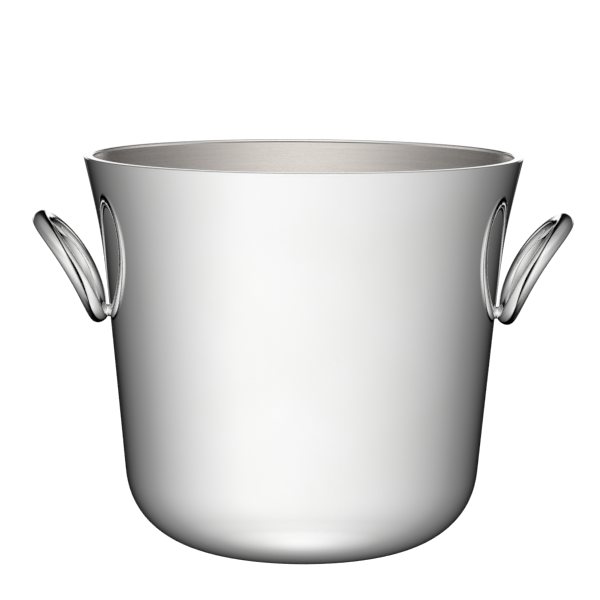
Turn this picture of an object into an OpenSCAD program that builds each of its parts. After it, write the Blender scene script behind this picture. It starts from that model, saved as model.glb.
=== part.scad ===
// Silver-plated champagne bucket: a double-walled vessel of spun metal with two fixed ring handles.
// Units are millimetres. The origin is the centre of the base, on the surface that it stands on.
// +Z is up, and the handles stand out along -X (left) and +X (right).

/* [Vessel] */
// Overall height, from the standing surface to the top of the rim
bucket_h = 199; // [185:1:215]
// Outer diameter at the rim
rim_d = 220; // [205:1:235]
// Outward lean of the straight lower wall, as millimetres out per millimetre up
wall_taper = 0.094; // [0.05:0.002:0.13]
// Extra lean that the mouth gains above the lower wall
flare_gain = 0.146; // [0.05:0.002:0.2]
// Height at which the mouth starts to flare
flare_z = 160; // [140:1:170]
// How softly the lower wall turns into the flare
flare_soft = 16; // [6:1:30]
// Height of the rounded bottom corner
corner_h = 41; // [30:1:50]
// How far the bottom corner comes in under the wall
corner_in = 50.4; // [40:0.2:55]
// Fullness of the bottom corner: 2 is an ellipse, and more is squarer
corner_full = 2.3; // [2:0.05:3]
// Height of the dished middle of the base above the standing surface
base_dish = 1.5; // [0.5:0.1:2.5]

/* [Walls] */
// Metal thickness of the outer shell
shell_t = 1.2; // [0.8:0.1:1.6]
// Metal thickness of the inner liner
liner_t = 1.0; // [0.8:0.1:1.4]
// Air gap between the two walls under the rim
gap_rim = 2.1; // [1.8:0.1:3]
// Air gap between the two walls at the bottom
gap_base = 5; // [3.5:0.1:7]
// Thickness of the flat lip on top of the two walls
lip_t = 1.6; // [1.2:0.1:2.4]
// Rounding of the lip's edges
lip_round = 0.6; // [0.2:0.1:0.7]
// Depth of the rim ring's tongue between the two walls
tongue_h = 5; // [3:0.5:8]

/* [Handles] */
// Outer diameter of a handle ring
ring_d = 64.4; // [60:0.2:66]
// Thickness of a handle ring from its outer edge to its hole
ring_t = 7.5; // [6:0.1:9]
// Width of a handle ring's band, measured square to the ring
ring_w = 8.3; // [6:0.1:9]
// Outward lean of a handle ring from upright, in degrees
ring_lean = 31; // [26:0.5:33]
// Distance from the bucket's axis to a ring's centre
ring_x = 117; // [116:0.25:119]
// Height of a ring's centre
ring_z = 142.1; // [140:0.1:144]
// Radius to which a ring is curved round the bucket
ring_bend = 100; // [90:1:140]
// Diameter of the tenon that carries a ring
tenon_d = 5.5; // [4:0.1:6]
// Height of the tenon's axis
tenon_z = 119.8; // [119:0.1:121]
// Diameter of the backing plate that spreads the handle's load inside the wall
backing_d = 22; // [14:1:30]
// Thickness of the backing plate
backing_t = 1.4; // [1:0.1:1.8]

/* [Hidden] */
silver = "#d9d9d6";
satin = "#b9b6af";
brass = "#b5a05a";
corner_steps = 14;
wall_steps = 20;
// Radius of the wall at height 0, so that the rim comes out at rim_d
wall_r0 = rim_d / 2 - wall_taper * bucket_h - flare(bucket_h);
// The walls stop here, under the lip
wall_top = bucket_h - lip_t;
// Radius of the flat ring that the base stands on, and of the dish inside it
foot_r = wall_r(0) - corner_in;
dish_r = foot_r - 5;
// Width of the slope between the dish and the standing ring, and how far it shifts inside the metal
dish_slope = 2;
dish_shift = 0.8;
// The tenon runs from the inner face of the backing plate to this far outside the wall
tenon_reach = 4.2;
tenon_x_in = wall_r(tenon_z) - shell_t - backing_t;
tenon_x_out = wall_r(tenon_z) + tenon_reach;
// Thickness of the solder on each side of the tongue
solder_t = 0.1;
// Long enough to cut right through whatever a tool crosses
through = 120;

// Extra radius of the flared mouth at height z: a straight lean with a soft start
function flare(z) = flare_gain / 2 * ((z - flare_z) + sqrt(pow(z - flare_z, 2) + pow(flare_soft, 2)));
// Outer radius of the wall at height z, before the bottom corner is rounded off
function wall_r(z) = wall_r0 + wall_taper * z + flare(z);
// Point of the bottom corner at angle a: 0 at the base and 90 where it meets the wall
function corner_z(a) = corner_h * (1 - pow(cos(a), 2 / corner_full));
function corner_pt(a) = [wall_r(corner_z(a)) - corner_in * (1 - pow(sin(a), 2 / corner_full)), corner_z(a)];
// Outside of the vessel from the edge of its base up to height top, as points of radius and height
function outside(top) = concat(
    [for (i = [0:corner_steps]) corner_pt(90 * i / corner_steps)],
    [for (i = [1:wall_steps]) let (z = corner_h + (top - corner_h) * i / wall_steps) [wall_r(z), z]]);
// Unit normal of the outside at point i, pointing into the vessel
function inward(p, i) = let (
    a = p[max(i - 1, 0)],
    b = p[min(i + 1, len(p) - 1)],
    d = (b - a) / norm(b - a)) i == 0 ? [0, 1] : [-d[1], d[0]];
// Air gap between the walls at height z, wide below and narrow under the rim
function gap(z) = gap_base + (gap_rim - gap_base) * pow(min(max(z / wall_top, 0), 1), 3);
// Inside face of the outer shell. The liner's faces below are the same outline moved further in
function shell_inside(top) = let (p = outside(top))
    [for (i = [0:len(p) - 1]) p[i] + inward(p, i) * shell_t];
function backing_inside(top) = let (p = outside(top))
    [for (i = [0:len(p) - 1]) p[i] + inward(p, i) * (shell_t + backing_t)];
function liner_outside(top, extra) = let (p = outside(top))
    [for (i = [0:len(p) - 1]) p[i] + inward(p, i) * (shell_t + gap(p[i][1]) + extra)];
// Dished middle of the base, raised by up and widened by out
function dish(up, out) = [
    [0, base_dish + up],
    [dish_r + out, base_dish + up],
    [dish_r + dish_slope + out, up]];
function reversed(p) = [for (i = [len(p) - 1:-1:0]) p[i]];

// A wall between two outlines that both run upwards
module spun(outer, inner) {
    rotate_extrude($fn = 96)
        polygon(concat(outer, reversed(inner)));
}

// Everything below the underside of the lip
module under_lip() {
    translate([0, 0, -1])
        cylinder(r = rim_d, h = wall_top + 1, $fn = 96);
}

// Cylinder along X from x0 to x1 at the tenon's height, on the right-hand side
module tenon_bar(d, x0, x1) {
    translate([x0, 0, tenon_z])
        rotate([0, 90, 0])
            cylinder(d = d, h = x1 - x0, $fn = 48);
}

module on_both_sides() {
    children();
    mirror([1, 0, 0])
        children();
}

module outer_shell() {
    color(silver)
    difference() {
        intersection() {
            spun(
                concat(dish(0, 0), outside(bucket_h)),
                concat(dish(shell_t, dish_shift), shell_inside(bucket_h)));
            under_lip();
        }
        on_both_sides()
            tenon_bar(tenon_d, tenon_x_in - 5, tenon_x_out);
    }
}

module inner_liner() {
    color(satin)
    intersection() {
        spun(
            concat([[0, shell_t + gap_base]], liner_outside(bucket_h, 0)),
            concat([[0, shell_t + gap_base + liner_t]], liner_outside(bucket_h, liner_t)));
        under_lip();
    }
}

// Flat lip with rounded edges, and a tongue that is soldered between the walls
module rim_ring() {
    lean = wall_taper + flare_gain;
    slant = sqrt(1 + lean * lean);
    lip_out = wall_r(bucket_h);
    lip_in = wall_r(wall_top) - (shell_t + gap_rim + liner_t) * slant;
    tongue_out = wall_r(wall_top) - shell_t * slant - solder_t;
    tongue_in = tongue_out - gap_rim + 2 * solder_t;
    color(silver)
        rotate_extrude($fn = 96)
            polygon(concat(
                [[wall_r(wall_top), wall_top]],
                quarter(lip_out - lip_round, bucket_h - lip_round, lip_round, 0),
                quarter(lip_in + lip_round, bucket_h - lip_round, lip_round, 90),
                [[lip_in, wall_top], [tongue_in, wall_top],
                 [tongue_in - lean * tongue_h, wall_top - tongue_h],
                 [tongue_out - lean * tongue_h, wall_top - tongue_h],
                 [tongue_out, wall_top]]));
}
// Quarter circle about (x, z) from angle a, as points
function quarter(x, z, r, a) = [for (i = [0:4]) [x + r * cos(a + 22.5 * i), z + r * sin(a + 22.5 * i)]];

// A band ring, leaning outwards and curved to follow the bucket, bored for its tenon
module handle_ring() {
    color(silver)
    difference() {
        translate([ring_x, 0, ring_z])
            rotate([0, ring_lean, 0])
                intersection() {
                    rotate([0, -90, 0])
                        translate([0, 0, -through / 2])
                            difference() {
                                cylinder(d = ring_d, h = through, $fn = 96);
                                translate([0, 0, -1])
                                    cylinder(d = ring_d - 2 * ring_t, h = through + 2, $fn = 96);
                            }
                    translate([-ring_bend, 0, -through / 2])
                        difference() {
                            cylinder(r = ring_bend + ring_w / 2, h = through, $fn = 120);
                            translate([0, 0, -1])
                                cylinder(r = ring_bend - ring_w / 2, h = through + 2, $fn = 120);
                        }
                }
        tenon_bar(tenon_d, tenon_x_in, tenon_x_out);
    }
}

// Short neck between the wall and the ring, with its tenon through both
module handle_neck() {
    color(silver)
        tenon_bar(tenon_d, tenon_x_in, tenon_x_out);
}

// Plate that follows the inside of the shell, bored for the tenon
module handle_backing() {
    color(brass)
    difference() {
        intersection() {
            spun(shell_inside(bucket_h), backing_inside(bucket_h));
            tenon_bar(backing_d, tenon_x_in - 10, tenon_x_out);
        }
        tenon_bar(tenon_d, tenon_x_in - 11, tenon_x_out + 1);
    }
}
outer_shell();
inner_liner();
rim_ring();
mirror([1, 0, 0]) handle_ring();  // handle_ring_left
mirror([1, 0, 0]) handle_neck();  // handle_neck_left
mirror([1, 0, 0]) handle_backing();  // handle_backing_left
handle_ring();  // handle_ring_right
handle_neck();  // handle_neck_right
handle_backing();  // handle_backing_right
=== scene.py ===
# %% [markdown]
# # A silver champagne bucket
# The real bucket is silver-plated brass. Its outer wall and its liner are spun on a lathe, a flat
# lip closes the two at the mouth, and a cast ring on each side is the handle.
#
# This file makes what the eye sees of it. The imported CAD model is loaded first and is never
# changed: it says where each part is, and each finer piece made here stands for one CAD node. The
# pieces are finer because a mirror shows every facet. A flat too small to see on a painted pot is
# a plain kink in a reflection.

# %% Load the frame
import math

import bmesh
import bpy
from mathutils import Matrix, Vector


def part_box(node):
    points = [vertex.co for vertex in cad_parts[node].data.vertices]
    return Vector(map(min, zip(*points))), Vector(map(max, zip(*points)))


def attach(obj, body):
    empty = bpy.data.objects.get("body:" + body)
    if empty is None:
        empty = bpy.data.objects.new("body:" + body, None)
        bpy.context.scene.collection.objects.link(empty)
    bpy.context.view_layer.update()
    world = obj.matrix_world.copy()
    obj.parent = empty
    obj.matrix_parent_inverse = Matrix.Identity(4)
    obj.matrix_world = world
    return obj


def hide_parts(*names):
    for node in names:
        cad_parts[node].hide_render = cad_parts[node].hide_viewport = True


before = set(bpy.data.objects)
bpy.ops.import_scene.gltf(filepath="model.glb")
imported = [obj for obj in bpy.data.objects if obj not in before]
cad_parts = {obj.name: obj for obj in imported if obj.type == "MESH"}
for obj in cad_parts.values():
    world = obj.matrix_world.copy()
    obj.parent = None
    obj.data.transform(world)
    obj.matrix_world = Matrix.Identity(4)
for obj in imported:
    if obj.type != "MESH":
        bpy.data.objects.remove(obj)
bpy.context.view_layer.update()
MM = 0.001

# %% [markdown]
# ## Sizes
# A lathe turns one outline, so the whole vessel is a single line from the base to the mouth. The
# rim's radius, the height and the lip's underside are measured from the frame. The others are the
# maker's figures: how much the wall leans, where the mouth begins to flare, how large and how full
# the bottom corner is, and how thick each sheet is. They are named once, because the shell, the
# liner and the lip all use them.

# %% Measure the frame and name the vessel's sizes
rim_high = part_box("rim_ring")[1]
shell_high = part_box("outer_shell")[1]
RIM_R = rim_high.x
HEIGHT = rim_high.z
LIP_BOTTOM = shell_high.z
TAPER = 0.094
FLARE_GAIN = 0.146
FLARE_Z = 160 * MM
FLARE_SOFT = 16 * MM
CORNER_H = 41 * MM
CORNER_IN = 50.4 * MM
CORNER_FULL = 2.3
print(f"rim radius {RIM_R / MM:.1f} mm, height {HEIGHT / MM:.1f} mm, lip from {LIP_BOTTOM / MM:.1f} mm")

# %% Name the sheets' sizes
SHELL_T = 1.2 * MM
LINER_T = 1.0 * MM
GAP_RIM = 2.1 * MM
GAP_BASE = 5.0 * MM
print(f"shell {SHELL_T / MM:.1f} mm and liner {LINER_T / MM:.1f} mm thick")


# %% [markdown]
# ## The outline
# The wall could be drawn as a curve by hand. But the shell's inside and both sides of the liner
# have to follow it at exact distances, so it is a formula. The straight wall widens by TAPER. The
# flare is a hyperbola: it adds nothing low down, turns softly over FLARE_SOFT and then widens
# steadily. The bottom corner is a superellipse, which is a quarter circle pushed a little fuller,
# as metal pressed over a rounded former comes out.

# %% Write the wall and its flare
def flare(z):
    """Extra radius of the mouth at height z."""
    return FLARE_GAIN / 2 * ((z - FLARE_Z) + math.hypot(z - FLARE_Z, FLARE_SOFT))


def wall_r(z):
    """Outer radius of the wall at height z, before the bottom corner is rounded off."""
    return RIM_R - TAPER * (HEIGHT - z) - flare(HEIGHT) + flare(z)


print(f"wall radius at mid-height {wall_r(HEIGHT / 2) / MM:.1f} mm")


# %% Join the corner to the wall
def corner_point(turn):
    """Point of the bottom corner: turn is 0 at the base and 1 where the corner meets the wall."""
    angle = turn * math.pi / 2
    z = CORNER_H * (1 - max(math.cos(angle), 0) ** (2 / CORNER_FULL))
    return Vector((wall_r(z) - CORNER_IN * (1 - math.sin(angle) ** (2 / CORNER_FULL)), z))


def outside(top, corner_steps=40, wall_steps=60):
    """Outline from the edge of the base up to height top, as (radius, height)."""
    corner = [corner_point(i / corner_steps) for i in range(corner_steps + 1)]
    step = (top - CORNER_H) / wall_steps
    heights = [CORNER_H + step * i for i in range(1, wall_steps + 1)]
    return corner + [Vector((wall_r(z), z)) for z in heights]


outer_line = outside(LIP_BOTTOM)
foot_r = outer_line[0].x
print(f"outline of {len(outer_line)} points, foot radius {foot_r / MM:.1f} mm")


# %% [markdown]
# ## Lines inside the wall
# The inside of a sheet lies square to its outside, so each point moves along the outline's own
# normal. A Solidify modifier could do the same, but the gap between the walls changes with
# height, and both walls have to end level at the lip's underside.

# %% Move an outline inwards
def offset_in(line, depth):
    """The outline moved into the vessel by depth(height), square to itself, up to the lip."""
    moved = []
    for i, point in enumerate(line):
        along = line[min(i + 1, len(line) - 1)] - line[max(i - 1, 0)]
        normal = Vector((-along.y, along.x)).normalized() if i else Vector((0, 1))
        moved.append(point + normal * depth(point.y))
    kept = [point for point in moved if point.y < LIP_BOTTOM]
    after = moved[len(kept)]
    share = (LIP_BOTTOM - kept[-1].y) / (after.y - kept[-1].y)
    return kept + [kept[-1].lerp(after, share)]


def gap(z):
    """Air gap between the two walls at height z."""
    return GAP_BASE + (GAP_RIM - GAP_BASE) * min(max(z / LIP_BOTTOM, 0), 1) ** 3


print(f"air gap {gap(0) / MM:.1f} mm at the base and {gap(LIP_BOTTOM) / MM:.1f} mm at the lip")

# %% [markdown]
# ## Turning an outline into a piece
# Blender's spin is a lathe: it carries a line of vertices round an axis and skins what it sweeps.
# use_merge joins the last step to the first. On the axis the swept points fall together, so
# doubles are merged before anything else. Then the faces are turned outwards, because a spin can
# leave a shape inside out, and a shape inside out shades wrongly.

# %% Write the lathe
LATHE_STEPS = 256
DOUBLE = 0.002 * MM


def spun(outline, joined):
    """Spins an outline of (radius, height) round the axis. joined closes it end to start."""
    bm = bmesh.new()
    verts = [bm.verts.new((p[0], 0, p[1])) for p in outline]
    pairs = list(zip(verts, verts[1:]))
    if joined:
        pairs.append((verts[-1], verts[0]))
    edges = [bm.edges.new(pair) for pair in pairs]
    bmesh.ops.spin(
        bm, geom=verts + edges, cent=(0, 0, 0), axis=(0, 0, 1), dvec=(0, 0, 0),
        angle=math.tau, steps=LATHE_STEPS, use_merge=True, use_duplicate=False)
    return bm


def face_outwards(bm):
    """Points every face of a closed shape outwards."""
    bmesh.ops.remove_doubles(bm, verts=bm.verts, dist=DOUBLE)
    bmesh.ops.recalc_face_normals(bm, faces=bm.faces)
    if bm.calc_volume(signed=True) < 0:
        bmesh.ops.reverse_faces(bm, faces=bm.faces)


print(f"the lathe's widest facet is {RIM_R * math.tau / LATHE_STEPS / MM:.1f} mm")

# %% [markdown]
# ## Finishing a piece
# Every piece ends the same way. Its mesh becomes an object at the origin, it rides on the one
# body, it hides the CAD node that it stands in for, and it takes the finish it is given. Shading is
# smooth except where two faces meet at more than 30 degrees, which keeps the crisp edges crisp.
# The cast pieces also get a subdivision surface, which rounds what lies between the points.

# %% Write the finish
CRISP = math.radians(30)


def finish_piece(bm, name, node, material, levels=0):
    """Turns bm into the object name, which replaces the CAD node."""
    face_outwards(bm)
    mesh = bpy.data.meshes.new(name)
    bm.to_mesh(mesh)
    bm.free()
    mesh.shade_smooth()
    mesh.set_sharp_from_angle(angle=CRISP)
    mesh.materials.append(material)
    piece = bpy.data.objects.new(name, mesh)
    bpy.context.scene.collection.objects.link(piece)
    if levels:
        smooth = piece.modifiers.new("rounding", "SUBSURF")
        smooth.levels = levels
        smooth.render_levels = levels
    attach(piece, "root")
    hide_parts(node)
    print(f"{name}: {len(mesh.polygons)} faces before rounding")
    return piece


# %% [markdown]
# ## Helpers for materials
# A material is a small network of nodes. One helper adds a node, sets it and joins it up in one
# line, so that each recipe below reads from top to bottom. Colours are written as the hex values
# a screen shows. Blender reckons in linear light, so one function converts them.

# %% Write the helpers
def linear(hex_colour):
    """An sRGB hex colour as linear red, green, blue and alpha."""
    channels = [int(hex_colour[i:i + 2], 16) / 255 for i in (1, 3, 5)]
    return [c / 12.92 if c <= 0.04045 else ((c + 0.055) / 1.055) ** 2.4 for c in channels] + [1]


def add_node(tree, kind, links=None, stops=None, **settings):
    """Adds a shader node and returns it. links joins a socket to an output, or gives it a value.
    settings are the node's own choices, and stops are a ramp's (place, colour) pairs."""
    node = tree.nodes.new("ShaderNode" + kind)
    for key, value in settings.items():
        setattr(node, key, value)
    for key, source in (links or {}).items():
        if isinstance(source, bpy.types.NodeSocket):
            tree.links.new(source, node.inputs[key])
        else:
            node.inputs[key].default_value = source
    for i, (place, colour) in enumerate(stops or []):
        elements = node.color_ramp.elements
        stop = elements[i] if i < 2 else elements.new(place)
        stop.position = place
        stop.color = colour if hasattr(colour, "__len__") else (colour, colour, colour, 1)
    return node


def new_material(name):
    """A material with an empty tree, its Principled shader and its output."""
    material = bpy.data.materials.new(name)
    material.use_nodes = True
    tree = material.node_tree
    tree.nodes.clear()
    shader = add_node(tree, "BsdfPrincipled")
    add_node(tree, "OutputMaterial", {"Surface": shader.outputs["BSDF"]})
    return material, tree, shader


print("mid grey #808080 in linear light:", round(linear("#808080")[0], 3))

# %% [markdown]
# ## Polished silver plate
# The outside is plated and then buffed on a wheel until it is a mirror. What gives it away as
# metal and not chrome paint is small: the plate's tone drifts a little over a few centimetres,
# and the wheel leaves faint lines round the body, which widen a highlight sideways. Both are noise
# on Object coordinates, one in 45 mm clouds and one squeezed flat into 0.9 mm lines. Real buff
# lines are far finer. They are drawn as coarse as they must be to tell in the picture.

# %% Mix the polished silver plate
CLOUD = 45 * MM
BUFF_LENGTH = 30 * MM
BUFF_WIDTH = 0.9 * MM


def polished_silver():
    """Buffed silver plate: a nearly clear mirror with a slight haze."""
    material, tree, shader = new_material("polished_silver_plate")
    place = add_node(tree, "TexCoord").outputs["Object"]
    cloud = add_node(tree, "TexNoise", {"Vector": place, "Scale": 1 / CLOUD, "Detail": 3.0})
    tone = add_node(tree, "ValToRGB", {0: cloud.outputs[0]},
                    [(0.3, linear("#f4f4f3")), (0.7, linear("#f8f8f8"))])
    haze = add_node(tree, "MapRange", {0: cloud.outputs[0], 1: 0.3, 2: 0.7, 3: 0.022, 4: 0.04})
    buff = add_node(tree, "Mapping",
                    {"Vector": place, "Scale": (1 / BUFF_LENGTH, 1 / BUFF_LENGTH, 1 / BUFF_WIDTH)})
    lines = add_node(tree, "TexNoise", {"Vector": buff.outputs[0], "Scale": 1.0, "Detail": 2.0})
    bump = add_node(tree, "Bump",
                    {"Height": lines.outputs[0], "Strength": 0.02, "Distance": 0.01 * MM})
    shader.inputs["Metallic"].default_value = 1
    tree.links.new(tone.outputs[0], shader.inputs["Base Color"])
    tree.links.new(haze.outputs[0], shader.inputs["Roughness"])
    tree.links.new(bump.outputs[0], shader.inputs["Normal"])
    return material


silver = polished_silver()
print(f"{silver.name}: {CLOUD / MM:.0f} mm clouds, {BUFF_WIDTH / MM:.1f} mm buff lines")

# %% [markdown]
# ## Satin silver plate
# The liner is brushed while it turns on the lathe, so its lines run round the axis, on the wall
# and on the floor alike. The noise is therefore read in a space of its own: slow round the
# bucket, and fast along height plus radius, which grows both up the wall and out across the
# floor. A straight stretch along Z would draw rings on the wall but only blots on the floor. The
# lines are 0.8 mm wide, coarser than real brushing, so that they show.

# %% Mix the satin silver plate
BRUSH_LENGTH = 60 * MM
BRUSH_WIDTH = 0.8 * MM


def satin_silver():
    """Brushed silver plate: soft and slightly warm, with fine lines round the axis."""
    material, tree, shader = new_material("satin_silver_plate")
    place = add_node(tree, "TexCoord").outputs["Object"]
    axes = add_node(tree, "SeparateXYZ", {0: place})
    flat = add_node(tree, "CombineXYZ", {0: axes.outputs[0], 1: axes.outputs[1]})
    radius = add_node(tree, "VectorMath", {0: flat.outputs[0]}, operation="LENGTH")
    along = add_node(tree, "Math", {0: axes.outputs[2], 1: radius.outputs["Value"]},
                     operation="ADD")
    across = add_node(tree, "Math", {0: along.outputs[0], 1: 1 / BRUSH_WIDTH},
                      operation="MULTIPLY")
    around = add_node(tree, "VectorMath", {0: flat.outputs[0], "Scale": 1 / BRUSH_LENGTH},
                      operation="SCALE")
    parts = add_node(tree, "SeparateXYZ", {0: around.outputs[0]})
    brush = add_node(tree, "CombineXYZ",
                     {0: parts.outputs[0], 1: parts.outputs[1], 2: across.outputs[0]})
    lines = add_node(tree, "TexNoise",
                     {"Vector": brush.outputs[0], "Scale": 1.0, "Detail": 4.0, "Roughness": 0.7})
    # The liner's tone is set darker than the polished plate's. That darkness is painted shade for the
    # inside of the bucket, while the warm cast and the drift along the lines are the liner's own.
    tone = add_node(tree, "ValToRGB", {0: lines.outputs[0]},
                    [(0.3, linear("#dcd5cf")), (0.7, linear("#e8e2dd"))])
    haze = add_node(tree, "MapRange", {0: lines.outputs[0], 1: 0.3, 2: 0.7, 3: 0.24, 4: 0.32})
    bump = add_node(tree, "Bump",
                    {"Height": lines.outputs[0], "Strength": 0.25, "Distance": 0.02 * MM})
    shader.inputs["Metallic"].default_value = 1
    tree.links.new(tone.outputs[0], shader.inputs["Base Color"])
    tree.links.new(haze.outputs[0], shader.inputs["Roughness"])
    tree.links.new(bump.outputs[0], shader.inputs["Normal"])
    return material


satin = satin_silver()
print(f"{satin.name}: lines {BRUSH_WIDTH / MM:.1f} mm wide")

# %% [markdown]
# ## Brass sheet
# Between the walls, a small brass plate spreads each handle's pull over the thin shell. It is
# never plated or polished, because nobody sees it. The CAD mesh is right as it is, so the plates
# are kept and only their material is changed: dull yellow metal with a tone that wanders over a
# few millimetres, as rolled sheet has.

# %% Mix the brass and give it to the backing plates
TARNISH = 6 * MM


def plain_brass():
    """Rolled brass: yellow, and matt enough to hide any clear reflection."""
    material, tree, shader = new_material("brass_sheet")
    place = add_node(tree, "TexCoord").outputs["Object"]
    cloud = add_node(tree, "TexNoise", {"Vector": place, "Scale": 1 / TARNISH, "Detail": 4.0})
    tone = add_node(tree, "ValToRGB", {0: cloud.outputs[0]},
                    [(0.3, linear("#c9a35a")), (0.7, linear("#dcb96f"))])
    haze = add_node(tree, "MapRange", {0: cloud.outputs[0], 1: 0.3, 2: 0.7, 3: 0.3, 4: 0.42})
    shader.inputs["Metallic"].default_value = 1
    tree.links.new(tone.outputs[0], shader.inputs["Base Color"])
    tree.links.new(haze.outputs[0], shader.inputs["Roughness"])
    return material


brass = plain_brass()
for node in ("handle_backing_left", "handle_backing_right"):
    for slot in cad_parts[node].material_slots:
        slot.material = brass
    print(node, "takes", brass.name)


# %% [markdown]
# ## The outer shell
# A disc of brass is pressed over the former and turned at the rim. Its base is dished upwards, so
# that it stands on a narrow ring and doesn't rock. The outline is drawn once round the whole
# sheet: under the base and up the outside, then down the inside and back to the axis.

# %% Spin the outer shell
BASE_DISH = 1.5 * MM
STAND_W = 5 * MM
DISH_SLOPE = 2 * MM
DISH_SHIFT = 0.8 * MM
dish_r = foot_r - STAND_W


def dish(up, out):
    """Dished middle of the base, from the axis out to the standing ring."""
    points = [(0, BASE_DISH + up), (dish_r * 0.5, BASE_DISH + up), (dish_r + out, BASE_DISH + up),
              (dish_r + DISH_SLOPE + out, up)]
    return [Vector(p) for p in points]


under = dish(0, 0) + outer_line
over = dish(SHELL_T, DISH_SHIFT) + offset_in(outer_line, lambda z: SHELL_T)
finish_piece(spun(under + over[::-1], False), "outer_shell_visual", "outer_shell", silver)

# %% [markdown]
# ## The liner
# The liner is a second vessel inside the first, and the air between them keeps the outside dry.
# It follows the same outline, moved in past the shell and the air gap, and its floor lies flat
# above the dish. Making it from the same line keeps the gap even all the way up.

# %% Spin the liner
liner_out = offset_in(outer_line, lambda z: SHELL_T + gap(z))
liner_in = offset_in(outer_line, lambda z: SHELL_T + gap(z) + LINER_T)


def liner_floor(z):
    """The flat floor at height z, from the axis to half-way out."""
    return [Vector((0, z)), Vector((foot_r / 2, z))]


below = liner_floor(SHELL_T + GAP_BASE) + liner_out
above = liner_floor(SHELL_T + GAP_BASE + LINER_T) + liner_in
finish_piece(spun(below + above[::-1], False), "inner_liner_visual", "inner_liner", satin)


# %% [markdown]
# ## The lip
# A flat ring of metal is soldered over both walls and polished with the shell. Its two upper
# edges are rounded by 0.6 mm. Without that rounding, the edge would have no highlight, and the
# rim would look cut from paper. A bevel could round it, but the lip is a turned part, so the
# quarter circles are put straight into its outline.

# %% Write the rounding of the lip's edges
LIP_ROUND = 0.6 * MM
LIP_FLAT = 1.6 * MM
LIP_STEP = 0.04 * MM
LIP_SPREAD = 0.01 * MM
lip_out_r = wall_r(LIP_BOTTOM)
lip_in_r = lip_out_r - (SHELL_T + GAP_RIM + LINER_T) * math.hypot(1, TAPER + FLARE_GAIN)


def arc(x, z, start, steps=6):
    """Quarter circle of the lip's rounding about (x, z), from start in quarters of a turn."""
    turns = [math.pi / 2 * (start + i / steps) for i in range(steps + 1)]
    return [Vector((x + LIP_ROUND * math.cos(t), z + LIP_ROUND * math.sin(t))) for t in turns]


print(f"the lip is {(lip_out_r - lip_in_r) / MM:.1f} mm wide where it meets the walls")

# %% Spin the lip
lip_line = [Vector((lip_out_r, LIP_BOTTOM)), Vector((lip_out_r + LIP_SPREAD, LIP_BOTTOM + LIP_STEP))]
lip_line += arc(RIM_R - LIP_ROUND, HEIGHT - LIP_ROUND, 0)
lip_line += [Vector((RIM_R - LIP_FLAT, HEIGHT)), Vector((lip_in_r + LIP_FLAT, HEIGHT))]
lip_line += arc(lip_in_r + LIP_ROUND, HEIGHT - LIP_ROUND, 1)
lip_line += [Vector((lip_in_r, LIP_BOTTOM + LIP_STEP)), Vector((lip_in_r, LIP_BOTTOM))]
finish_piece(spun(lip_line, True), "rim_ring_visual", "rim_ring", silver)


# %% [markdown]
# ## The handle rings
# Each handle is a cast ring, wider than it is thick. It is curved to follow the bucket and leans
# outwards, so that fingers fit behind it. A plain torus has a round section, and this one is a
# fuller oval: the near side, which faces the bucket, is fuller than the far side. So a circle of
# points is pushed out to a superellipse, spun into a ring, bent round a vertical axis and then
# leaned over. Both sides come from one function, and the left one is the mirror image of the right
# one.

# %% Name the ring's sizes
RING_D = 64.4 * MM
RING_T = 7.5 * MM
RING_W = 8.3 * MM
RING_LEAN = math.radians(31)
RING_X = 117 * MM
RING_Z = 142.1 * MM
RING_BEND = 100 * MM
SECTION_NEAR = 2.5
SECTION_FAR = 2.1
SECTION_POINTS = 28
RING_STEPS = 96
print(f"ring {RING_D / MM:.1f} mm across, band {RING_T / MM:.1f} by {RING_W / MM:.1f} mm")


# %% Write the ring's steps
def shape_section(verts):
    """Pushes a unit circle of vertices out to the ring's section, at the top of the ring."""
    for v in verts:
        u, w = v.co.x, v.co.y
        full = SECTION_FAR if w > 0 else SECTION_NEAR
        size = (abs(u) ** full + abs(w) ** full) ** (1 / full)
        radial = u / size * RING_T / 2
        across = w / size * RING_W / 2
        v.co = Vector((across, 0, (RING_D - RING_T) / 2 + radial))


def bend(verts):
    """Bends a flat ring round a vertical axis, as the bucket's wall is bent."""
    for v in verts:
        turn = math.asin(v.co.y / RING_BEND)
        reach = RING_BEND + v.co.x
        v.co.x = reach * math.cos(turn) - RING_BEND
        v.co.y = reach * math.sin(turn)


def ring_mesh(side):
    """A ring that leans outwards. side is -1 on the left and 1 on the right."""
    bm = bmesh.new()
    section = bmesh.ops.create_circle(bm, segments=SECTION_POINTS, radius=1)["verts"]
    shape_section(section)
    bmesh.ops.spin(
        bm, geom=bm.verts[:] + bm.edges[:], cent=(0, 0, 0), axis=(1, 0, 0), dvec=(0, 0, 0),
        angle=math.tau, steps=RING_STEPS, use_merge=True, use_duplicate=False)
    bmesh.ops.remove_doubles(bm, verts=bm.verts, dist=DOUBLE)
    bend(bm.verts)
    bm.transform(Matrix.Translation((RING_X, 0, RING_Z)) @ Matrix.Rotation(RING_LEAN, 4, "Y"))
    if side < 0:
        bm.transform(Matrix.Scale(-1, 4, (1, 0, 0)))
    return bm


# %% Make both rings
SIDES = ((-1, "left"), (1, "right"))
for side, word in SIDES:
    finish_piece(ring_mesh(side), f"handle_ring_{word}_visual", f"handle_ring_{word}", silver, 2)

# %% [markdown]
# ## The necks
# A short neck joins each ring's lowest point to the wall. Solder fills the corners at both ends,
# so the neck is waisted: thinnest near the wall and wider where it meets each neighbour. A
# cylinder would show two sharp seams. The waist is a parabola in the outline, and one spin round
# the X axis makes it solid.

# %% Name the neck's sizes
NECK_Z = 119.8 * MM
NECK_R = 3.0 * MM
NECK_START = -1.0 * MM
NECK_WAIST = 1.0 * MM
NECK_END = 4.0 * MM
NECK_SPREAD = 1.6 * MM
NECK_GROW = 0.16
NECK_MOST = 4
NECK_STEPS = 14
NECK_TURNS = 40
print(f"neck {2 * NECK_R / MM:.1f} mm thick at its waist, {(NECK_END - NECK_START) / MM:.1f} mm long")


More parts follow.
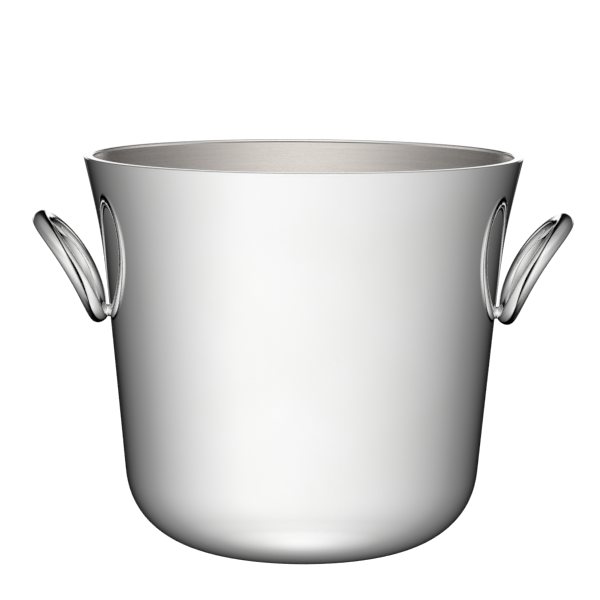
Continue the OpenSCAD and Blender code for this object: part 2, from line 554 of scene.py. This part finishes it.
# %% Make both necks
def neck_mesh(side):
    """A waisted neck from just inside the wall into the ring's band."""
    bm = bmesh.new()
    verts = []
    for i in range(NECK_STEPS + 1):
        reach = NECK_START + (NECK_END - NECK_START) * i / NECK_STEPS
        spread = min(((reach - NECK_WAIST) / NECK_SPREAD) ** 2, NECK_MOST)
        verts.append(bm.verts.new((wall_r(NECK_Z) + reach, 0, NECK_R * (1 + NECK_GROW * spread))))
    edges = [bm.edges.new(pair) for pair in zip(verts, verts[1:])]
    bmesh.ops.spin(
        bm, geom=verts + edges, cent=(0, 0, 0), axis=(1, 0, 0), dvec=(0, 0, 0),
        angle=math.tau, steps=NECK_TURNS, use_merge=True, use_duplicate=False)
    bmesh.ops.remove_doubles(bm, verts=bm.verts, dist=DOUBLE)
    bmesh.ops.holes_fill(bm, edges=[e for e in bm.edges if e.is_boundary])
    bm.transform(Matrix.Translation((0, 0, NECK_Z)))
    if side < 0:
        bm.transform(Matrix.Scale(-1, 4, (1, 0, 0)))
    return bm


for side, word in SIDES:
    finish_piece(neck_mesh(side), f"handle_neck_{word}_visual", f"handle_neck_{word}", silver, 1)


# %% [markdown]
# ## The studio's light
# A mirror has no colour of its own to show. What the eye takes for polished silver is the room
# around it, so the room is the most important part of this scene. It could be built from soft
# boxes, but their edges would show in the wall as hard bands. Here it is a tent of light: white
# towards the camera and fading smoothly to black behind the bucket, so that the wall goes dark at
# both sides and looks round. The room above the horizon fades sooner than the room below.
#
# The light is worked out by nodes from a direction alone. The same function then serves both the
# world and the screens further on.

# %% Grade the studio from front to back
# Pairs of an angle from straight in front, in degrees, and the brightness there.
LOW_GRADE = [(0, 1.0), (30, 0.975), (42, 0.935), (52, 0.87), (70, 0.72), (95, 0.47), (110, 0.31),
             (125, 0.2), (140, 0.1), (154, 0.025), (180, 0.0)]
HIGH_GRADE = [(0, 1.0), (20, 0.98), (36, 0.84), (60, 0.56), (85, 0.34), (115, 0.21), (150, 0.05),
              (180, 0.01)]
# Pairs of an elevation, in degrees, and the room's brightness compared with the horizon's.
HORIZON = 0.62
ROOF_GRADE = [(-90, 1.1), (-75, 0.92), (-60, 0.71), (-45, HORIZON), (28, HORIZON), (50, 0.93), (90, 0.93)]
# The high grade takes over from the low one between these elevations.
UPPER_RISE = [(-5, 0), (12, 1)]
# The left of the tent is a little brighter than the right, low down.
KEY_REACH = 0.6
KEY_TILT = 0.07
# A low window straight behind the bucket gives the far edges their thin bright line.
WINDOW_RISE = [(-4, 0), (-2, 1), (10, 1), (16, 0)]
WINDOW_HALF = (math.radians(26), math.radians(34))


def by_cosine(grade):
    """Ramp stops from pairs of an angle in degrees and a brightness."""
    return sorted(((math.cos(math.radians(angle)) + 1) / 2, light) for angle, light in grade)


def rise(degrees):
    """Where an elevation lies on a ramp that runs from straight down to straight up."""
    return (math.sin(math.radians(degrees)) + 1) / 2


def by_rise(grade):
    """Ramp stops from pairs of an elevation in degrees and a brightness."""
    return [(rise(angle), light) for angle, light in grade]


print("grades of", len(LOW_GRADE), len(HIGH_GRADE), "and", len(ROOF_GRADE), "stops")


# %% Work out the light of a direction
def room_light(tree, axes, height):
    """Brightness of the tent alone, from a direction's axes and its height."""
    front = add_node(tree, "MapRange", {0: axes.outputs[1], 1: 1.0, 2: -1.0})
    low = add_node(tree, "ValToRGB", {0: front.outputs[0]}, by_cosine(LOW_GRADE))
    high = add_node(tree, "ValToRGB", {0: front.outputs[0]}, by_cosine(HIGH_GRADE))
    upper = add_node(tree, "ValToRGB", {0: height}, by_rise(UPPER_RISE))
    key_side = add_node(tree, "MapRange", {0: axes.outputs[0], 1: -KEY_REACH, 2: KEY_REACH,
                                           3: 1 + KEY_TILT, 4: 1 - KEY_TILT})
    leaned = add_node(tree, "Math", {0: low.outputs[0], 1: key_side.outputs[0]},
                      operation="MULTIPLY")
    room = add_node(tree, "Mix", {0: upper.outputs[0], 2: leaned.outputs[0], 3: high.outputs[0]})
    roof = add_node(tree, "ValToRGB", {0: height}, by_rise(ROOF_GRADE))
    lit = add_node(tree, "Math", {0: room.outputs[0], 1: roof.outputs[0]}, operation="MULTIPLY")
    scaled = add_node(tree, "Math", {0: lit.outputs[0], 1: 1 / HORIZON}, operation="MULTIPLY")
    return scaled.outputs[0]


def studio_light(tree, direction):
    """Brightness of the studio in a direction: the tent, or the window where that is brighter."""
    axes = add_node(tree, "SeparateXYZ", {0: direction})
    height = add_node(tree, "MapRange", {0: axes.outputs[2], 1: -1.0, 2: 1.0}).outputs[0]
    tent = room_light(tree, axes, height)
    turn = add_node(tree, "Math", {0: axes.outputs[0], 1: axes.outputs[1]}, operation="ARCTAN2")
    behind = add_node(tree, "Math", {0: turn.outputs[0]}, operation="ABSOLUTE")
    gate = add_node(tree, "MapRange",
                    {0: behind.outputs[0], 1: WINDOW_HALF[0], 2: WINDOW_HALF[1], 3: 1.0, 4: 0.0})
    slot = add_node(tree, "ValToRGB", {0: height}, by_rise(WINDOW_RISE))
    window = add_node(tree, "Math", {0: gate.outputs[0], 1: slot.outputs[0]}, operation="MULTIPLY")
    return add_node(tree, "Math", {0: tent, 1: window.outputs[0]}, operation="MAXIMUM").outputs[0]


# %% Light the world
world = bpy.data.worlds.new("studio")
bpy.context.scene.world = world
world.use_nodes = True
world_tree = world.node_tree
world_tree.nodes.clear()
sky = add_node(world_tree, "TexCoord").outputs["Generated"]
towards = add_node(world_tree, "VectorMath", {0: sky}, operation="NORMALIZE").outputs[0]
background = add_node(world_tree, "Background", {0: studio_light(world_tree, towards)})
add_node(world_tree, "OutputWorld", {0: background.outputs[0]})
print(f"{world.name}: {len(world_tree.nodes)} nodes")


# %% [markdown]
# ## The floor and the backdrop
# The bucket stands on a pale floor in front of white. Both are there for the camera only. If the
# wall reflected the floor as well, the tent of light would be half hidden by a flat disc. So the
# floor is switched off for reflections, and the backdrop is a globe that only camera rays meet.
# Both glow a little, which keeps them an even white with no lamp to cast a shadow.

# %% Write the helpers for staging
def stage_piece(bm, name, material):
    """Makes an object of the set, which isn't part of the bucket."""
    mesh = bpy.data.meshes.new(name)
    bm.to_mesh(mesh)
    bm.free()
    mesh.materials.append(material)
    piece = bpy.data.objects.new(name, mesh)
    bpy.context.scene.collection.objects.link(piece)
    return piece


def hide_from(piece, *rays):
    """Makes kinds of rays pass a piece by."""
    for ray in rays:
        setattr(piece, "visible_" + ray, False)


def glow(shader, strength):
    """Lets a surface shine white."""
    shader.inputs["Emission Color"].default_value = (1, 1, 1, 1)
    shader.inputs["Emission Strength"].default_value = strength


# %% Lay the floor
pale, tree, shader = new_material("pale_table")
shader.inputs["Base Color"].default_value = (0.8, 0.8, 0.8, 1)
shader.inputs["Roughness"].default_value = 0.9
shader.inputs["Specular IOR Level"].default_value = 0
glow(shader, 0.86)
FLOOR_R = 6
bm = bmesh.new()
bmesh.ops.create_circle(bm, cap_ends=True, segments=96, radius=FLOOR_R)
floor = stage_piece(bm, "studio_floor", pale)
hide_from(floor, "glossy", "diffuse", "shadow")
print(f"{floor.name}: {2 * FLOOR_R} m across")

# %% Hang the backdrop
white, tree, shader = new_material("white_backdrop")
shader.inputs["Base Color"].default_value = (0, 0, 0, 1)
glow(shader, 1.05)
bm = bmesh.new()
bmesh.ops.create_uvsphere(bm, u_segments=48, v_segments=24, radius=5.5)
backdrop = stage_piece(bm, "studio_backdrop", white)
hide_from(backdrop, "diffuse", "glossy", "transmission", "volume_scatter", "shadow")
print(f"{backdrop.name}: {len(backdrop.data.polygons)} faces")

# %% [markdown]
# ## Screens for the handles
# Black card hung close to a polished handle gives its curve a dark line, so that it doesn't melt
# into the white. Here card near the handles would show in the wall too. So each screen is a
# large globe with a pattern of openness, from 0 for closed to 1 for clear. Where it is closed, it
# shines just as the studio behind it does, so the wall can't tell that it is there. Light linking
# then takes that shine away from the handles alone, and they see black.
#
# One screen serves both handles, and darkens what lies low down and behind. Two more serve one
# side each and close the half of the room across the bucket. Each of those is clear on its own
# side, where the other one is closed. They would otherwise cover each other, because the handles'
# rays have to pass both.

# %% Say how open the screens are
# Pairs of an angle in degrees and a share: away from the front, up from the horizon, and turned
# from the front towards a screen's own side.
AWAY_SHARE = [(0, 0.96), (20, 0.9), (46, 0.86), (76, 0.82), (98, 0.84), (124, 0.86), (146, 0.8),
              (154, 0.5), (160, 0.12), (180, 0.05)]
RISE_SHARE = [(-90, 0.0), (-82, 0.04), (-74, 0.16), (-64, 0.42), (-52, 0.6), (-35, 0.8),
              (-20, 0.92), (5, 1.0)]
TURN_SHARE = [(-180, 0.0), (-29, 0.0), (-25, 0.07), (-22, 0.3), (-19, 0.62), (-16, 0.88),
              (-12, 1.0), (180, 1.0)]
TURN_LEAN = -0.12
PIT_TURN = (math.radians(100), math.radians(140))
PIT_RISE = [(-45, 1), (-18, 0)]
PIT_SHARE = 0.1
OPEN_TURN = (math.radians(146), math.radians(154))
OPEN_RISE = [(-5, 0), (-3, 1), (10, 1), (16, 0)]
print("stops:", len(AWAY_SHARE), len(RISE_SHARE), len(TURN_SHARE))


# %% Find the direction of a globe's point
def sight(tree, side):
    """Outputs for the direction from a globe's middle to its surface. turn is the angle from the
    front, positive towards side. away is turn without its sign, climb is the elevation, and
    height is where that lies on a ramp."""
    place = add_node(tree, "TexCoord").outputs["Object"]
    unit = add_node(tree, "VectorMath", {0: place}, operation="NORMALIZE").outputs[0]
    axes = add_node(tree, "SeparateXYZ", {0: unit})
    out = add_node(tree, "Math", {0: axes.outputs[0], 1: float(side)}, operation="MULTIPLY")
    ahead = add_node(tree, "Math", {0: axes.outputs[1], 1: -1.0}, operation="MULTIPLY")
    turn = add_node(tree, "Math", {0: out.outputs[0], 1: ahead.outputs[0]}, operation="ARCTAN2")
    away = add_node(tree, "Math", {0: turn.outputs[0]}, operation="ABSOLUTE")
    climb = add_node(tree, "Math", {0: axes.outputs[2]}, operation="ARCSINE")
    height = add_node(tree, "MapRange", {0: axes.outputs[2], 1: -1.0, 2: 1.0})
    return {"unit": unit, "turn": turn.outputs[0], "away": away.outputs[0],
            "climb": climb.outputs[0], "height": height.outputs[0]}


# %% Draw the screens' patterns
def share_for_both(tree, view):
    """How open the shared screen is: less low down, and nearly closed low behind."""
    away = add_node(tree, "MapRange", {0: view["away"], 1: 0.0, 2: math.pi})
    round_it = add_node(tree, "ValToRGB", {0: away.outputs[0]},
                        [(angle / 180, share) for angle, share in AWAY_SHARE])
    up_it = add_node(tree, "ValToRGB", {0: view["height"]}, by_rise(RISE_SHARE))
    back = add_node(tree, "MapRange", {0: view["away"], 1: PIT_TURN[0], 2: PIT_TURN[1]})
    deep = add_node(tree, "ValToRGB", {0: view["height"]}, by_rise(PIT_RISE))
    pit = add_node(tree, "Math", {0: back.outputs[0], 1: deep.outputs[0]}, operation="MULTIPLY")
    keep = add_node(tree, "MapRange", {0: pit.outputs[0], 3: 1.0, 4: PIT_SHARE})
    both = add_node(tree, "Math", {0: round_it.outputs[0], 1: up_it.outputs[0]},
                    operation="MULTIPLY")
    share = add_node(tree, "Math", {0: both.outputs[0], 1: keep.outputs[0]}, operation="MULTIPLY")
    return share.outputs[0]


def share_for_one(tree, view):
    """How open one side's screen is: closed across the bucket, along a slightly leaning edge."""
    lean = add_node(tree, "Math", {0: view["climb"], 1: TURN_LEAN}, operation="MULTIPLY")
    leant = add_node(tree, "Math", {0: view["turn"], 1: lean.outputs[0]}, operation="ADD")
    around = add_node(tree, "MapRange", {0: leant.outputs[0], 1: -math.pi, 2: math.pi})
    share = add_node(tree, "ValToRGB", {0: around.outputs[0]},
                     [((angle + 180) / 360, share) for angle, share in TURN_SHARE])
    return share.outputs[0]


# %% Make a screen's material
def screen(name, side, share_for):
    """A screen's material. The window behind the bucket stays open in every screen."""
    material = bpy.data.materials.new(name)
    material.use_nodes = True
    material.cycles.emission_sampling = "NONE"
    tree = material.node_tree
    tree.nodes.clear()
    view = sight(tree, side)
    gate = add_node(tree, "MapRange", {0: view["away"], 1: OPEN_TURN[0], 2: OPEN_TURN[1]})
    slot = add_node(tree, "ValToRGB", {0: view["height"]}, by_rise(OPEN_RISE))
    window = add_node(tree, "Math", {0: gate.outputs[0], 1: slot.outputs[0]}, operation="MULTIPLY")
    share = add_node(tree, "Math", {0: share_for(tree, view), 1: window.outputs[0]},
                     operation="MAXIMUM")
    shine = add_node(tree, "Emission", {0: studio_light(tree, view["unit"])})
    clear = add_node(tree, "BsdfTransparent")
    mixed = add_node(tree, "MixShader",
                     {0: share.outputs[0], 1: shine.outputs[0], 2: clear.outputs[0]})
    add_node(tree, "OutputMaterial", {0: mixed.outputs[0]})
    return material


# %% Hang the screens
def hang_screen(name, side, share_for, radius, words):
    """Hangs a screen that takes the light from the handles on the sides in words."""
    bm = bmesh.new()
    bmesh.ops.create_icosphere(bm, subdivisions=4, radius=radius)
    globe = stage_piece(bm, name, screen(name, side, share_for))
    hide_from(globe, "camera")
    group = bpy.data.collections.new(name)
    for word in words:
        for part in ("ring", "neck"):
            group.objects.link(bpy.data.objects[f"handle_{part}_{word}_visual"])
    globe.light_linking.receiver_collection = group
    for item in group.collection_objects:
        item.light_linking.link_state = "EXCLUDE"


hang_screen("screen_both", 1, share_for_both, 2.8, ("left", "right"))
hang_screen("screen_left", -1, share_for_one, 2.9, ("left",))
hang_screen("screen_right", 1, share_for_one, 3.0, ("right",))

# %% [markdown]
# ## The camera
# A long lens from well back keeps the bucket's sides nearly parallel, as a catalogue picture
# does. It looks down a few degrees, just enough to see into the mouth, and rolls by a third of a
# degree. Depth of field stays off, so that every part is sharp. The Standard view transform shows
# the whites as plain white, where a filmic one would grey them.

# %% Place the camera
CAMERA_PLACE = (-0.00133, -1.3815, 0.308)
PITCH = math.radians(7.52)
ROLL = math.radians(0.36)
SENSOR = 36
LENS = 165.9
camera_data = bpy.data.cameras.new("camera")
camera_data.sensor_width = SENSOR
camera_data.lens = LENS
camera_data.clip_end = 100
camera = bpy.data.objects.new("camera", camera_data)
camera.matrix_world = (Matrix.Translation(CAMERA_PLACE)
                       @ Matrix.Rotation(math.pi / 2 - PITCH, 4, "X")
                       @ Matrix.Rotation(ROLL, 4, "Z"))
bpy.context.scene.collection.objects.link(camera)
bpy.context.scene.camera = camera
bpy.context.scene.view_settings.view_transform = "Standard"
print(f"camera {-CAMERA_PLACE[1]:.2f} m in front, {CAMERA_PLACE[2]:.2f} m up")
